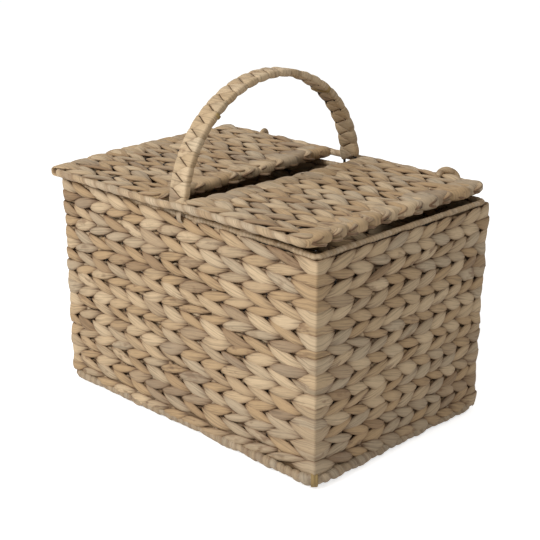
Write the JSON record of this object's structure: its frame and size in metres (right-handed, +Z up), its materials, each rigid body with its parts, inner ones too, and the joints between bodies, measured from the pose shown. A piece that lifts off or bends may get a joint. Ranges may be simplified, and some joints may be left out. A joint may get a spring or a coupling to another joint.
{
  "type": "picnic basket",
  "caption": "Oblong picnic basket of twined hyacinth on a wire frame, with a fixed arched handle and a slotted lid hinged along the back to cover the inside.",
  "frame": {"origin": "on the floor, under the middle of the base panel", "axes": "+X along the length, +Y towards the hinged back, +Z up"},
  "size_m": [0.4273, 0.307, 0.3956],
  "materials": {
    "hyacinth": "matte dried stalk",
    "strip": "satin split strip",
    "wire": "black satin"
  },
  "bodies": {
    "basket": {"bottom_rod": "wire", "rim_rod": "wire", "corner_post_1": "wire", "corner_post_2": "wire", "corner_post_3": "wire", "corner_post_4": "wire", "cross_stake_1": "wire", "cross_stake_2": "wire", "cross_stake_3": "wire", "cross_stake_4": "wire", "cross_stake_5": "wire", "cross_stake_6": "wire", "cross_stake_7": "wire", "cross_stake_8": "wire", "cross_stake_9": "wire", "cross_stake_10": "wire", "cross_stake_11": "wire", "long_stake_1": "wire", "long_stake_2": "wire", "long_stake_3": "wire", "long_stake_4": "wire", "long_stake_5": "wire", "long_stake_6": "wire", "long_stake_7": "wire", "long_stake_8": "wire", "long_stake_9": "wire", "bottom_wrap_front": "strip", "bottom_wrap_right": "strip", "bottom_wrap_back": "strip", "bottom_wrap_left": "strip", "rim_wrap_front": "strip", "rim_wrap_right": "strip", "rim_wrap_back": "strip", "rim_wrap_left": "strip", "wall_front": "hyacinth", "wall_right": "hyacinth", "wall_back": "hyacinth", "wall_left": "hyacinth", "base_panel": "hyacinth", "handle_rail_left": "wire", "handle_rail_right": "wire", "handle_wrap": "hyacinth", "hinge_loop_left": "strip", "hinge_loop_right": "strip"},
    "lid": {"lid_rod": "wire", "lid_slot_rod_left": "wire", "lid_slot_rod_right": "wire", "lid_stake_left_1": "wire", "lid_stake_left_2": "wire", "lid_stake_left_3": "wire", "lid_stake_left_4": "wire", "lid_stake_right_1": "wire", "lid_stake_right_2": "wire", "lid_stake_right_3": "wire", "lid_stake_right_4": "wire", "lid_panel_left": "hyacinth", "lid_panel_right": "hyacinth", "lid_wrap_front": "strip", "lid_wrap_back": "strip"}
  },
  "joints": [
    {"name": "lid_hinge", "type": "hinge", "parent": "basket", "child": "lid", "pos_m": [0, 0.14363, 0.27318], "axis": [-0.9998, 0, 0.0209], "range_deg": [0, 240]}
  ]
}
